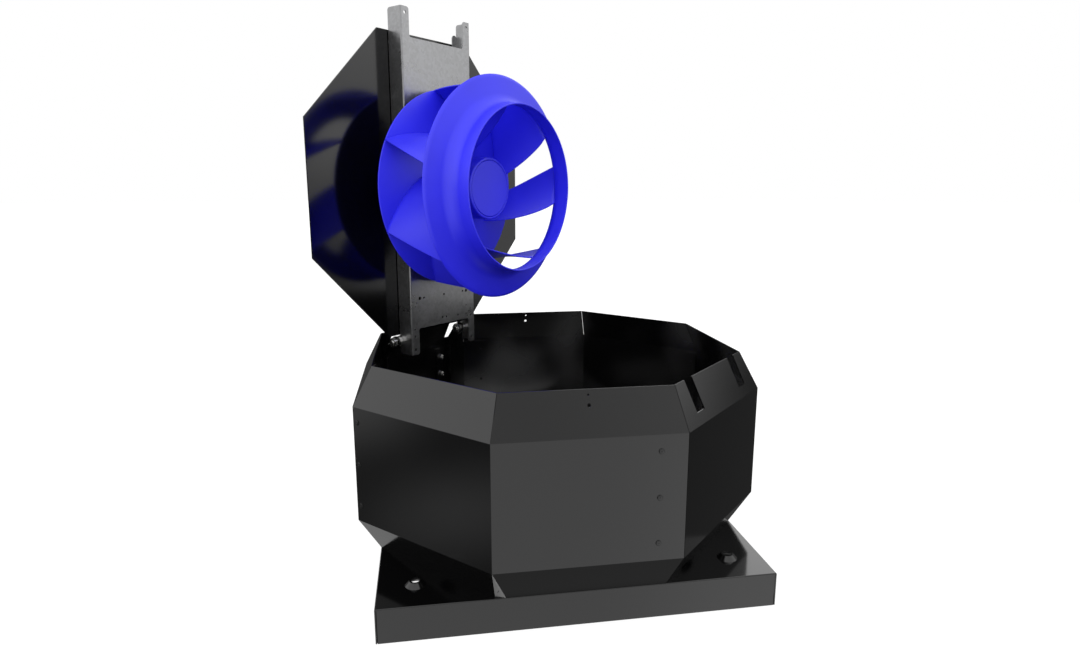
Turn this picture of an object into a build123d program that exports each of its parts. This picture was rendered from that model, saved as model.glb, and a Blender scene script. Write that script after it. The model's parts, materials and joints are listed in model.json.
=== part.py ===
from build123d import *
from math import atan, cos, degrees, log, radians, sin, sqrt, tan
import os

# Roof fan with an octagonal casing and a hinged lid, drawn with the lid open.
# Millimetres, +Z up. The origin is the centre of the base plate's underside edge, on the roof curb.
# Along the diagonal of the base, w runs from the hinge wall towards the wall that faces it,
# and u runs along the hinge pins.

# Base plate
base_size = 596.0
base_height = 53.0
base_sheet = 2.0
base_lip = 16.0
base_bend = 1.5
base_corner_gap = 0.8
fixing_spacing = 484.0
fixing_hole_radius = 6.0
boss_foot_radius = 17.0
boss_top_radius = 9.0
boss_rise = 7.0

# Casing: eight walls with a bevel below and above each
wall_count = 8
wall_apothem = 330.0
foot_apothem = 297.5
rim_apothem = 300.0
wall_bottom = 110.5
wall_top = 297.0
rim_height = 357.0
panel_sheet = 1.5
foot_flange = 22.0
seam_gap = 0.8
rim_hole_radii = (1.5, 2.5)
rim_hole_drops = (7.0, 20.0)
gusset_foot = 9.0
gusset_cut = 29.0
drain_hole_radius = 1.6
drain_hole_height = 141.0
drain_hole_shift = 17.0
drain_wall_turn = 225.0

# Slots in two opposite bevels, where the prongs of the beam drop in
slot_width = 26.0
slot_bottom = 312.5
slot_shift = 1.5
slot_reach = 30.0

# Corner strips and rivets
strip_sheet = 1.5
strip_long_leg = 50.0
strip_short_leg = 22.0
strip_end_gap = 5.0
rivet_row_long = 39.0
rivet_row_short = 9.0
rivet_rows = 3
rivet_pitch = 68.0
rivet_rise = 1.25
rivet_hole_radius = 2.5
rivet_radius = 2.4
rivet_head_radius = 4.0
rivet_face_radius = 2.6
rivet_head_height = 1.6
rivet_tail = 2.5
foot_rivet_offset = 80.0

# Inlet cone
cone_sheet = 1.5
cone_throat_radius = 136.0
cone_bell_radius = 50.0
cone_flange = 36.0
cone_flange_lap = 10.0
cone_rivet_count = 8
cone_lip_gap = 2.0

# Motor beam: folded channel with two prongs at each end
beam_sheet = 2.0
beam_half_width = 89.0
beam_depth = 33.0
beam_length = 621.0
web_length = 522.0
prong_width = 19.0
prong_corner = 5.0
beam_bend = 3.0
notch_corner = 4.0
prong_hole_radius = 2.75
prong_hole_inset = 10.0
web_small_hole = 2.0
web_large_hole = 3.0
web_hole_rise = 57.5
cable_hole_rise = 12.5
stop_hole_rise = 5.0

# Lid: flat octagonal plate behind the beam
lid_sheet = 2.5
lid_apothem = 274.0
lid_gap = 1.5
lug_width = 13.0
lug_length = 34.0
lid_bolt_radius = 3.0
lid_bolt_inset = 11.0
lid_spacer_radius = 5.5

# Hinge
hinge_w = -286.0
hinge_height = 337.4
hinge_pin_radius = 5.0
pin_clearance = 0.05
side_clearance = 0.3
lobe_radius = 11.0
bush_radius = 10.0
bush_length = 9.0
ear_sheet = 3.0
ear_foot_width = 30.0
ear_foot_bottom = 215.0
ear_foot_top = 290.0
ear_web_depth = 12.5
ear_root = 1.0
ear_throat_rise = 9.0
ear_crest_rise = 14.0
ear_heel_rise = 4.0
nut_across_flats = 17.0
nut_height = 9.0
bolt_head_height = 6.5
pin_tail = 2.0
bracket_bolt_radius = 3.0
bracket_bolt_rise = 20.0
bracket_bolt_drop = 18.0

# Small button-headed bolts and their nuts, on the brackets and the lid
button_radius = 6.0
button_height = 3.0
button_edge = 1.2
button_tail = 6.0
small_nut_flats = 10.0
small_nut_height = 5.0

# Rest brackets and rubber buffers under the free prongs
rest_width = 36.0
rest_sheet = 3.0
rest_drop = 52.0
rest_reach = 50.0
buffer_radius = 7.0
buffer_height = 17.1
buffer_edge = 1.5
buffer_inset = 40.5

# Motor with an outer rotor
motor_flange_radius = 62.0
motor_flange_height = 8.0
motor_tube_radius = 18.0
motor_hole_floor = 1.0
shaft_room = 3.0
bearing_radius = 14.0
bearing_width = 9.0
shaft_radius = 6.0
core_radius = 43.0
core_length = 60.0
core_slots = 12
core_slot_width = 5.0
core_slot_depth = 18.0
slot_liner = 0.2
winding_length = 7.0
winding_inset = 2.0
bell_radius = 50.0
bell_wall = 4.0
bell_length = 99.0
bell_gap = 4.0
motor_screw_radius = 3.0
motor_screw_circle = 52.0
motor_screw_count = 4
first_motor_screw = 45.0
motor_screw_head = 5.5
motor_screw_head_height = 4.0
motor_screw_spare = 2.0
shaft_setback = 2.0
shaft_proud = 1.0
shaft_chamfer = 0.8
web_bore_radius = 16.0

# Impeller: back plate with a hub cup, seven blades and a flared shroud
blade_count = 7
blade_thickness = 3.0
first_blade_angle = -2.2
hub_sheet = 3.0
hub_cup_radius = 55.0
hub_cup_depth = 60.0
hub_plate_radius = 177.0
hub_plate_cone = 37.0
hub_floor = 4.0
hub_root_radius = 8.0
cap_radius = 50.0
cap_sheet = 3.0
cap_gap = 0.4
cap_depth = 6.0
shroud_sheet = 2.5
shroud_inlet_radius = 141.0
shroud_collar = 27.0
shroud_length = 54.5
collar_draft = 1.0
flare_bend_radius = 16.0
flare_bend_angle = 75.0
flare_cone_length = 34.0
flare_rim_radius = 12.0
flare_rim_angle = 30.0
impeller_length = 174.0
impeller_gap = 21.0
blade_hub_start = 84.0
blade_hub_end = 175.0
blade_shroud_start = 150.0
blade_shroud_end = 192.5
hub_sweep = 45.0
shroud_start_turn = -5.0
shroud_end_turn = 18.0
impeller_screw_count = 6
impeller_screw_circle = 34.0
impeller_screw_radius = 2.5
impeller_screw_head = 4.5
impeller_screw_head_height = 2.4
impeller_screw_head_edge = 1.0
impeller_screw_grip = 3.0
blade_trim_edge = 1.5
blade_trim_depth = 10.0
blade_inlet_lean = 6.0
blade_overrun_along = 0.08
blade_overrun_across = 0.15
blade_grid_count_along = 7
blade_grid_count_across = 5

# Worked out from the sizes above
wall_turn = 360.0 / wall_count
seam_turn = 2 * wall_turn
seam_count = wall_count // 2
corner_share = tan(radians(wall_turn / 2))
root_half = sqrt(0.5)
along_hinge = (1, 1, 0)
away_from_hinge = (1, -1, 0)
upward = (0, 0, 1)
pin_hole_radius = hinge_pin_radius + pin_clearance
web_front = hinge_w + beam_depth
web_rear = web_front - beam_sheet
open_centre = hinge_height - hinge_w
beam_bottom = open_centre - beam_length / 2
beam_top = open_centre + beam_length / 2
prong_inner = beam_half_width - prong_width
closed_web = hinge_height - beam_depth
rest_top = closed_web - side_clearance - buffer_height
lid_front = hinge_w - lid_gap
lid_rear = lid_front - lid_sheet
slot_centre = beam_half_width - prong_width / 2 + slot_shift
impeller_back = web_front + impeller_gap
impeller_lip = impeller_back + impeller_length
shroud_rim_w = impeller_lip - shroud_length
hub_root = impeller_back + hub_sheet + hub_plate_cone
hub_face = hub_root + hub_cup_depth
hub_floor_front = hub_face - cap_depth
bell_front = hub_floor_front - hub_floor
bell_back = bell_front - bell_length
tube_front = bell_front - bell_wall - bell_gap
wall_inside = wall_apothem - panel_sheet
bevel_lean = (wall_apothem - rim_apothem) / (rim_height - wall_top)
rest_back = wall_inside - bevel_lean * max(0.0, rest_top - wall_top)
strip_bottom = wall_bottom + strip_end_gap
strip_top = wall_top - strip_end_gap
rivet_middle = (wall_bottom + wall_top) / 2 + rivet_rise

# Placing planes: sections through the fan axis, plans over the base and views along the pins
fan_axis = Axis((0, 0, open_centre), away_from_hinge)
fan_section = Plane(origin=(0, 0, open_centre), x_dir=upward, z_dir=along_hinge)


def at(u, w, z):
    """Point given along the hinge pins, away from the hinge wall and upwards."""
    return Vector((u + w) * root_half, (u - w) * root_half, z)


def plan(height):
    """Level plane with its x along w and its y along u."""
    return Plane(origin=(0, 0, height), x_dir=away_from_hinge, z_dir=upward)


def across_pins(u):
    """Upright plane square to the hinge pins, with its x along w and its y upwards."""
    return Plane(origin=at(u, 0, 0), x_dir=away_from_hinge, z_dir=(-1, -1, 0))


def facing_lid(w):
    """Upright plane square to the fan axis, with its x along u and its y upwards."""
    return Plane(origin=at(0, w, 0), x_dir=along_hinge, z_dir=away_from_hinge)


def fan_face(w):
    """Plane square to the fan axis with its origin on that axis."""
    return Plane(origin=at(0, w, open_centre), x_dir=along_hinge, z_dir=away_from_hinge)


def wall_face(turn, inset, height):
    """Plane on a wall, looking outwards, with its x along the wall and its y upwards."""
    out = Vector(cos(radians(turn)), sin(radians(turn)), 0)
    along = Vector(-sin(radians(turn)), cos(radians(turn)), 0)
    return Plane(origin=out * (wall_apothem - inset) + Vector(0, 0, height), x_dir=along, z_dir=out)


def octagon(apothem):
    """Octagon with a flat side towards each axis."""
    RegularPolygon(apothem, wall_count, major_radius=False, rotation=wall_turn / 2)


def rivet(grip):
    """Blind rivet standing on its own plane: bevelled head outside, shank and tail behind it."""
    with BuildPart() as body:
        with BuildSketch(Plane.XZ):
            with BuildLine():
                Polyline((0, rivet_head_height), (rivet_face_radius, rivet_head_height),
                         (rivet_head_radius, 0), (rivet_radius, 0), (rivet_radius, -grip - rivet_tail),
                         (0, -grip - rivet_tail), close=True)
            make_face()
        revolve(axis=Axis.Z)
    return body.part


def on_plane(shape, plane):
    """Copy of a shape that was drawn about the origin, moved to a plane."""
    return shape.moved(plane.location)


# Casing drum: the folded form that the four panels share
upper_taper = degrees(atan((wall_apothem - rim_apothem) / (rim_height - wall_top)))
lower_taper = degrees(atan((wall_apothem - foot_apothem) / (wall_bottom - base_height)))
with BuildPart() as drum:
    with BuildSketch(Plane.XY.offset(wall_bottom)):
        octagon(wall_apothem)
    extrude(amount=wall_top - wall_bottom)
    extrude(faces().sort_by(Axis.Z)[-1], amount=rim_height - wall_top, taper=upper_taper)
    extrude(faces().sort_by(Axis.Z)[0], amount=wall_bottom - base_height, taper=lower_taper)
    offset(amount=-panel_sheet, openings=faces().filter_by(Axis.Z).sort_by(Axis.Z), kind=Kind.INTERSECTION)
    with BuildSketch(Plane.XY.offset(base_height)):
        octagon(foot_apothem)
        RegularPolygon(foot_apothem - foot_flange, wall_count, major_radius=False,
                       rotation=wall_turn / 2, mode=Mode.SUBTRACT)
    extrude(amount=panel_sheet)
    # Slots for the prongs in the hinge wall's bevel and the one that faces it
    with BuildSketch(plan(slot_bottom)):
        with GridLocations(2 * rim_apothem, 2 * slot_centre, 2, 2):
            Rectangle(wall_apothem - rim_apothem + slot_reach, slot_width)
    extrude(amount=rim_height - slot_bottom, mode=Mode.SUBTRACT)
    # Two small holes, one over the other, in the front and back bevels
    for hole_radius, drop in zip(rim_hole_radii, rim_hole_drops):
        with BuildSketch(Plane.XZ):
            with Locations((0, rim_height - drop)):
                Circle(hole_radius)
        extrude(amount=wall_apothem, both=True, mode=Mode.SUBTRACT)
    # Small drain hole low in the wall to the left of the front
    with BuildSketch(wall_face(drain_wall_turn, 0, drain_hole_height)):
        with Locations((drain_hole_shift, 0)):
            Circle(drain_hole_radius)
    extrude(amount=-2 * panel_sheet, mode=Mode.SUBTRACT)

# Rivet places at the corners where two panels meet, on the straight wall or on the diagonal one
corner_offset = wall_apothem * corner_share
rivet_columns = ((0, corner_offset - rivet_row_long), (wall_turn, rivet_row_short - corner_offset))


def corner_rivet_planes(seam, inset):
    """Planes of the rivets beside one seam. They go through the front and back panels only."""
    turn, column = rivet_columns[1 - seam % 2]
    return [
        Plane(wall_face(seam * seam_turn + turn, inset, rivet_middle + (row - 1) * rivet_pitch).location
              * Location((column, 0, 0)))
        for row in range(rivet_rows)
    ]


def foot_rivet_planes(height):
    """Planes of the rivets through the foot flange, two on each wall."""
    reach = foot_apothem - foot_flange / 2
    return [
        Plane(Location((0, 0, height), (0, 0, wall * wall_turn)) * Location((reach, side, 0)))
        for wall in range(wall_count)
        for side in (-foot_rivet_offset, foot_rivet_offset)
    ]


seam_rivets = [plane for seam in range(seam_count) for plane in corner_rivet_planes(seam, 0)]
with BuildPart() as rivet_holes:
    for plane in seam_rivets:
        with BuildSketch(plane):
            Circle(rivet_hole_radius)
    extrude(amount=3 * (panel_sheet + strip_sheet), both=True)
    for plane in foot_rivet_planes(base_height):
        with BuildSketch(plane):
            Circle(rivet_hole_radius)
    extrude(amount=2 * base_sheet, both=True)

# Base plate: pressed tray with turned-down sides, an inward lip and four raised fixing bosses
opening_radius = cone_throat_radius + cone_bell_radius + cone_flange_lap
cone_outer = cone_throat_radius + cone_bell_radius + cone_flange
cone_rivet_circle = (opening_radius + cone_outer) / 2
with BuildPart() as base_plate:
    with BuildSketch():
        Rectangle(base_size, base_size)
    extrude(amount=base_height)
    fillet(edges().group_by(Axis.Z)[-1], radius=base_bend)
    with BuildSketch(Plane.XY.offset(base_sheet)):
        Rectangle(base_size - 2 * base_sheet, base_size - 2 * base_sheet)
    extrude(amount=base_height - 2 * base_sheet, mode=Mode.SUBTRACT)
    # Open corners, where the front and back sides end beside the left and right ones
    with BuildSketch():
        with GridLocations(base_size - 2 * base_sheet - base_corner_gap, base_size, 2, 2):
            Rectangle(base_corner_gap, 2 * base_sheet)
    extrude(amount=base_height - base_sheet, mode=Mode.SUBTRACT)
    with BuildSketch():
        Rectangle(base_size - 2 * base_lip, base_size - 2 * base_lip)
    extrude(amount=base_sheet, mode=Mode.SUBTRACT)
    with BuildSketch(Plane.XY.offset(base_height - base_sheet)):
        Circle(opening_radius)
    extrude(amount=base_sheet, mode=Mode.SUBTRACT)
    with Locations(Plane.XY.offset(base_height - base_sheet)):
        with GridLocations(fixing_spacing, fixing_spacing, 2, 2):
            Cone(boss_foot_radius, boss_top_radius, boss_rise + base_sheet,
                 align=(Align.CENTER, Align.CENTER, Align.MIN))
            Cone(boss_foot_radius - 2 * base_sheet, fixing_hole_radius, boss_rise,
                 align=(Align.CENTER, Align.CENTER, Align.MIN), mode=Mode.SUBTRACT)
            Cylinder(fixing_hole_radius, boss_rise + base_sheet,
                     align=(Align.CENTER, Align.CENTER, Align.MIN), mode=Mode.SUBTRACT)
    with BuildSketch(Plane.XY.offset(base_height)):
        with PolarLocations(cone_rivet_circle, cone_rivet_count):
            Circle(rivet_hole_radius)
    extrude(amount=-base_sheet, mode=Mode.SUBTRACT)
    add(rivet_holes.part, mode=Mode.SUBTRACT)

# Hinge places along the pins: each leg's head side, and the far side of the ear behind it
leg_sides = (beam_sheet - beam_half_width, beam_half_width)
bracket_sides = [leg - beam_sheet - bush_length - ear_sheet for leg in leg_sides]
bracket_bolt_heights = (ear_foot_bottom + bracket_bolt_rise, ear_foot_top - bracket_bolt_drop)


def bolt_column(side):
    """Place along the pins of the bolts in one bracket's foot."""
    return side - (ear_foot_width - ear_sheet) / 2


bracket_bolt_places = [
    (bolt_column(side), height)
    for side in bracket_sides
    for height in bracket_bolt_heights
]


def turned_plan(turn, height):
    """Level plane whose x points outwards at an angle."""
    return Plane(Location((0, 0, height), (0, 0, turn)))


def gusset_plan(turn):
    """Plane and outline of the triangle that closes a folded corner between two lower bevels."""
    half_turn = radians(wall_turn / 2)
    foot_radius = foot_apothem / cos(half_turn) - gusset_foot * sin(half_turn)
    foot_side = gusset_foot * cos(half_turn)
    crest, first_foot, second_foot = [
        Vector(*point).rotate(Axis.Z, turn)
        for point in ((wall_apothem / cos(half_turn), 0, wall_bottom),
                      (foot_radius, -foot_side, base_height), (foot_radius, foot_side, base_height))
    ]
    open_edge = second_foot - crest
    face = Plane(origin=crest, x_dir=open_edge, z_dir=(first_foot - crest).cross(open_edge))
    return face, [tuple(face.to_local_coords(point))[:2] for point in (crest, first_foot, second_foot)]


def casing_panel(seam):
    """Two neighbouring walls with their bevels and foot flange, folded from one sheet."""
    start = wall_turn / 2 + seam_turn * seam
    reach = 2 * wall_apothem
    with BuildPart() as panel:
        add(drum.part)
        with BuildSketch(turned_plan(start, 0)):
            with Locations((seam_gap / 2, seam_gap / 2)):
                Rectangle(reach, reach, align=Align.MIN)
        extrude(amount=rim_height, mode=Mode.INTERSECT)
        # Slits between the bevels at the folded corner
        for slit_bottom, slit_top in ((base_height + panel_sheet, wall_bottom), (wall_top, rim_height)):
            with BuildSketch(turned_plan(start + wall_turn, slit_bottom)):
                Rectangle(reach, seam_gap, align=(Align.MIN, Align.CENTER))
            extrude(amount=slit_top - slit_bottom, mode=Mode.SUBTRACT)
        # Gusset in place of the cut corner of the lower bevels, with its slanting slit
        face, outline = gusset_plan(start + wall_turn)
        with BuildSketch(face):
            with BuildLine():
                Polyline(*outline, close=True)
            make_face()
        extrude(amount=gusset_foot, mode=Mode.SUBTRACT)
        with BuildSketch(face):
            with BuildLine():
                Polyline(*outline, close=True)
            make_face()
            with BuildLine():
                Line(outline[1], (outline[2][0] - gusset_cut, outline[2][1]))
            trace(line_width=seam_gap, mode=Mode.SUBTRACT)
        extrude(amount=-panel_sheet)
        add(rivet_holes.part, mode=Mode.SUBTRACT)
        with BuildSketch(facing_lid(-wall_apothem)):
            with Locations(*bracket_bolt_places):
                Circle(bracket_bolt_radius + pin_clearance)
        extrude(amount=2 * panel_sheet, both=True, mode=Mode.SUBTRACT)
    return panel.part


casing_panels = {
    "casing_panel_back": casing_panel(0),
    "casing_panel_left": casing_panel(1),
    "casing_panel_front": casing_panel(2),
    "casing_panel_right": casing_panel(3),
}


def angle_strip(seam):
    """Bent strip inside a corner, behind both of the panels that meet there."""
    corner = wall_inside * corner_share
    long_end = corner - strip_long_leg
    short_end = (wall_inside - strip_short_leg * root_half, corner + strip_short_leg * root_half)
    turned = Plane(Location((0, 0, strip_bottom), (0, 0, seam_turn * seam)))
    with BuildPart() as strip:
        with BuildSketch(turned):
            with BuildLine():
                Polyline((wall_inside, long_end), (wall_inside, corner), short_end)
                offset(amount=strip_sheet, side=Side.LEFT, kind=Kind.INTERSECTION)
            make_face()
        extrude(amount=strip_top - strip_bottom)
        add(rivet_holes.part, mode=Mode.SUBTRACT)
    return strip.part


with BuildPart() as corner_strips:
    for seam in range(seam_count):
        add(angle_strip(seam))

with BuildPart() as casing_rivets:
    for plane in seam_rivets:
        add(on_plane(rivet(panel_sheet + strip_sheet), plane))

with BuildPart() as foot_rivets:
    for plane in foot_rivet_planes(base_height + panel_sheet):
        add(on_plane(rivet(panel_sheet + base_sheet), plane))

# Inlet cone: bellmouth that stands on the base plate and leads the air into the impeller
cone_top = hinge_height - (impeller_lip - hinge_w) - cone_lip_gap
with BuildPart() as inlet_cone:
    with BuildSketch(Plane.XZ):
        with BuildLine():
            foot = Line((cone_outer, base_height), (cone_throat_radius + cone_bell_radius, base_height))
            bell = TangentArc(foot @ 1, (cone_throat_radius, base_height + cone_bell_radius),
                              tangent=(-1, 0))
            Line(bell @ 1, (cone_throat_radius, cone_top))
            offset(amount=cone_sheet, side=Side.RIGHT, kind=Kind.INTERSECTION)
        make_face()
    revolve(axis=Axis.Z)
    with BuildSketch(Plane.XY.offset(base_height)):
        with PolarLocations(cone_rivet_circle, cone_rivet_count):
            Circle(rivet_hole_radius)
    extrude(amount=2 * cone_sheet, mode=Mode.SUBTRACT)

with BuildPart(Plane.XY.offset(base_height + cone_sheet)) as inlet_cone_rivets:
    with PolarLocations(cone_rivet_circle, cone_rivet_count):
        add(rivet(cone_sheet + base_sheet))

# Hinge brackets: an ear for the pin and a foot on the hinge wall, the same part at both legs
ear_throat = ear_foot_top + ear_throat_rise
ear_crest = ear_foot_top + ear_crest_rise


def hinge_bracket(side):
    """Bracket whose ear stands between side and side + ear_sheet along the pins."""
    foot_back = -wall_inside
    web_root = foot_back + ear_sheet + ear_root
    with BuildPart() as bracket:
        with BuildSketch(across_pins(side + ear_sheet)):
            with BuildLine():
                Polyline((web_root, ear_crest), (web_root, ear_throat), (hinge_w, hinge_height), close=True)
            make_face()
            with Locations((hinge_w, hinge_height)):
                Circle(lobe_radius)
            make_hull()
            with Locations((web_root, ear_foot_bottom)):
                Rectangle(ear_web_depth, ear_throat + ear_sheet - ear_foot_bottom, align=Align.MIN)
            with BuildLine():
                Polyline((foot_back, ear_foot_bottom), (web_root, ear_foot_bottom),
                         (web_root, ear_foot_top + ear_heel_rise), (foot_back, ear_foot_top), close=True)
            make_face()
            with Locations((hinge_w, hinge_height)):
                Circle(pin_hole_radius, mode=Mode.SUBTRACT)
        extrude(amount=ear_sheet)
        with BuildSketch(facing_lid(foot_back)):
            with Locations((side + ear_sheet, ear_foot_bottom)):
                Rectangle(ear_foot_width, ear_foot_top - ear_foot_bottom, align=(Align.MAX, Align.MIN))
            with Locations(*[place for place in bracket_bolt_places if place[0] == bolt_column(side)]):
                Circle(bracket_bolt_radius + pin_clearance, mode=Mode.SUBTRACT)
        extrude(amount=ear_sheet)
    return bracket.part


hinge_bracket_left = hinge_bracket(bracket_sides[0])
hinge_bracket_right = hinge_bracket(bracket_sides[1])


def bolt(radius, length, head_radius, head_height, sides=0, head_edge=button_edge):
    """Bolt standing on its own plane: head above it, shank below. No sides gives a round, bevelled head."""
    with BuildPart() as body:
        with BuildSketch():
            if sides:
                RegularPolygon(head_radius, sides, major_radius=False)
            else:
                Circle(head_radius)
        extrude(amount=head_height)
        if not sides:
            chamfer(edges().group_by(Axis.Z)[-1], length=head_edge)
        with BuildSketch():
            Circle(radius)
        extrude(amount=-length)
    return body.part


def nut(bore_radius, across_flats, height):
    """Hexagon nut standing on its own plane."""
    with BuildPart() as body:
        with BuildSketch():
            RegularPolygon(across_flats / 2, 6, major_radius=False)
            Circle(bore_radius, mode=Mode.SUBTRACT)
        extrude(amount=height)
    return body.part


def button_bolt(radius, grip):
    """Small round-headed bolt that goes through a grip and its nut."""
    return bolt(radius, grip + button_tail, button_radius, button_height)


def ring(bore_radius, outer_radius, length):
    """Plain round bush standing on its own plane."""
    with BuildPart() as body:
        with BuildSketch():
            Circle(outer_radius)
            Circle(bore_radius, mode=Mode.SUBTRACT)
        extrude(amount=length)
    return body.part


def pin_plane(u):
    """Plane square to the hinge pins, looking along u, with its origin on the pin."""
    return Plane(origin=at(u, hinge_w, hinge_height), x_dir=away_from_hinge, z_dir=along_hinge)


pin_length = side_clearance + beam_sheet + bush_length + ear_sheet + nut_height + pin_tail
with BuildPart() as hinge_bolts:
    for leg in leg_sides:
        add(on_plane(bolt(hinge_pin_radius, pin_length, nut_across_flats / 2, bolt_head_height, 6),
                     pin_plane(leg + side_clearance)))

with BuildPart() as hinge_bushes:
    for side in bracket_sides:
        add(on_plane(ring(pin_hole_radius, bush_radius, bush_length - side_clearance),
                     pin_plane(side + ear_sheet)))

with BuildPart() as hinge_nuts:
    for side in bracket_sides:
        add(on_plane(nut(pin_hole_radius, nut_across_flats, nut_height), pin_plane(side - nut_height)))

outside_wall = Plane(origin=at(0, -wall_apothem, 0), x_dir=(-1, -1, 0), z_dir=(-1, 1, 0))
bracket_bolt_grip = panel_sheet + ear_sheet
with BuildPart() as hinge_bracket_bolts:
    for u, height in bracket_bolt_places:
        with Locations(outside_wall * Location((-u, height, 0))):
            add(button_bolt(bracket_bolt_radius, bracket_bolt_grip))

with BuildPart() as hinge_bracket_nuts:
    for u, height in bracket_bolt_places:
        with Locations(outside_wall * Location((-u, height, -bracket_bolt_grip - small_nut_height))):
            add(nut(bracket_bolt_radius + pin_clearance, small_nut_flats, small_nut_height))

# Rest brackets welded inside the far wall, each with a rubber buffer for a prong of the closed beam
prong_centre = beam_half_width - prong_width / 2
prong_hole_w = hinge_w + beam_top - prong_hole_inset - hinge_height


def rest_bracket(u):
    """Angle bracket with its shelf under one prong and a hole for the lid's locking screw."""
    with BuildPart() as bracket:
        with BuildSketch(across_pins(u + rest_width / 2)):
            with BuildLine():
                Polyline((rest_back, rest_top - rest_drop), (rest_back, rest_top),
                         (rest_back - rest_reach, rest_top))
                offset(amount=rest_sheet, side=Side.LEFT, kind=Kind.INTERSECTION)
            make_face()
        extrude(amount=rest_width)
        with BuildSketch(plan(rest_top)):
            with Locations((prong_hole_w, u)):
                Circle(prong_hole_radius)
        extrude(amount=-rest_sheet, mode=Mode.SUBTRACT)
    return bracket.part


rest_bracket_left = rest_bracket(-prong_centre)
rest_bracket_right = rest_bracket(prong_centre)

with BuildPart() as rest_buffers:
    with BuildSketch(plan(rest_top)):
        with Locations(*[(rest_back - buffer_inset, side * prong_centre) for side in (-1, 1)]):
            Circle(buffer_radius)
    extrude(amount=buffer_height)
    chamfer(edges().group_by(Axis.Z)[-1], length=buffer_edge)

# Motor beam: channel folded from one sheet, with lugs for the lid and lobes for the hinge pins
web_bottom = open_centre - web_length / 2
notch_depth = (beam_length - web_length) / 2
lid_top = open_centre + lid_apothem
lid_bottom = open_centre - lid_apothem
lug_centre = beam_half_width - beam_sheet - lug_width / 2
lid_bolt_levels = (lid_bottom + lid_bolt_inset, lid_top - lid_bolt_inset)
lid_bolt_places = [(side * lug_centre, level) for side in (-1, 1) for level in lid_bolt_levels]
web_hole_row = web_bottom + web_hole_rise
cable_hole_row = web_bottom + cable_hole_rise
stop_hole_row = web_bottom + stop_hole_rise
web_small_holes = (
    (-55.0, web_hole_row), (0.0, web_hole_row), (53.5, web_hole_row),
    (-5.4, cable_hole_row), (5.4, cable_hole_row), (67.5, stop_hole_row), (77.0, stop_hole_row),
    (-80.5, web_bottom - 1.0), (-79.5, web_bottom - 14.0),
)
web_large_holes = ((-66.0, web_hole_row), (64.0, web_hole_row))
with BuildPart() as motor_beam:
    with BuildSketch(plan(beam_bottom)):
        with BuildLine():
            FilletPolyline((hinge_w, -beam_half_width), (web_front, -beam_half_width),
                           (web_front, beam_half_width), (hinge_w, beam_half_width), radius=beam_bend)
            offset(amount=beam_sheet, side=Side.LEFT)
        make_face()
    extrude(amount=beam_length)
    # Notches that leave the prongs
    with BuildSketch(facing_lid(web_front)):
        for level in (-1, 1):
            with Locations((0, open_centre + level * (web_length + notch_depth + 2 * notch_corner) / 2)):
                RectangleRounded(2 * prong_inner, notch_depth + 2 * notch_corner, notch_corner)
    extrude(amount=-2 * beam_sheet, mode=Mode.SUBTRACT)
    tips = edges().group_by(Axis.Z)
    fillet([edge for edge in tips[0] + tips[-1] if abs(edge.length - beam_sheet) < 0.01],
           radius=prong_corner)
    # Lobes round the hinge pins
    for leg in leg_sides:
        with BuildSketch(across_pins(leg)):
            with Locations((hinge_w, hinge_height)):
                Circle(lobe_radius)
        extrude(amount=beam_sheet)
    with BuildSketch(across_pins(beam_half_width)):
        with Locations((hinge_w, hinge_height)):
            Circle(pin_hole_radius)
    extrude(amount=2 * beam_half_width, mode=Mode.SUBTRACT)
    # Lugs bent inwards from the rear edges, where the lid is bolted on
    with BuildSketch(facing_lid(hinge_w)):
        for u, level in lid_bolt_places:
            with Locations((u, level + (lug_length - lug_width) / 2)):
                SlotOverall(lug_length, lug_width, rotation=90)
    extrude(amount=beam_sheet)
    with BuildSketch(facing_lid(hinge_w)):
        with Locations(*lid_bolt_places):
            Circle(lid_bolt_radius + pin_clearance)
    extrude(amount=beam_sheet, mode=Mode.SUBTRACT)
    # Holes in the web and the prongs
    with BuildSketch(facing_lid(web_front)):
        with Locations(*web_small_holes):
            Circle(web_small_hole)
        with Locations(*web_large_holes):
            Circle(web_large_hole)
        with Locations(*[(side * prong_centre, level) for side in (-1, 1)
                         for level in (beam_bottom + prong_hole_inset, beam_top - prong_hole_inset)]):
            Circle(prong_hole_radius)
        with Locations((0, open_centre)):
            Circle(web_bore_radius)
            with PolarLocations(motor_screw_circle, motor_screw_count, start_angle=first_motor_screw):
                Circle(motor_screw_radius + pin_clearance)
    extrude(amount=-beam_sheet, mode=Mode.SUBTRACT)

# Lid and its fixings
with BuildPart() as lid:
    with BuildSketch(fan_face(lid_front)):
        octagon(lid_apothem)
    extrude(amount=-lid_sheet)
    with BuildSketch(facing_lid(lid_front)):
        with Locations(*lid_bolt_places):
            Circle(lid_bolt_radius + pin_clearance)
    extrude(amount=-lid_sheet, mode=Mode.SUBTRACT)

lid_grip = lid_sheet + lid_gap + beam_sheet
outside_lid = Plane(origin=at(0, lid_rear, 0), x_dir=(-1, -1, 0), z_dir=(-1, 1, 0))
with BuildPart() as lid_bolts:
    for u, level in lid_bolt_places:
        with Locations(outside_lid * Location((-u, level, 0))):
            add(button_bolt(lid_bolt_radius, lid_grip))

with BuildPart() as lid_spacers:
    for u, level in lid_bolt_places:
        with Locations(facing_lid(lid_front) * Location((u, level, 0))):
            add(ring(lid_bolt_radius + pin_clearance, lid_spacer_radius, lid_gap))

with BuildPart() as lid_nuts:
    for u, level in lid_bolt_places:
        with Locations(facing_lid(hinge_w + beam_sheet) * Location((u, level, 0))):
            add(nut(lid_bolt_radius + pin_clearance, small_nut_flats, small_nut_height))

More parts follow.
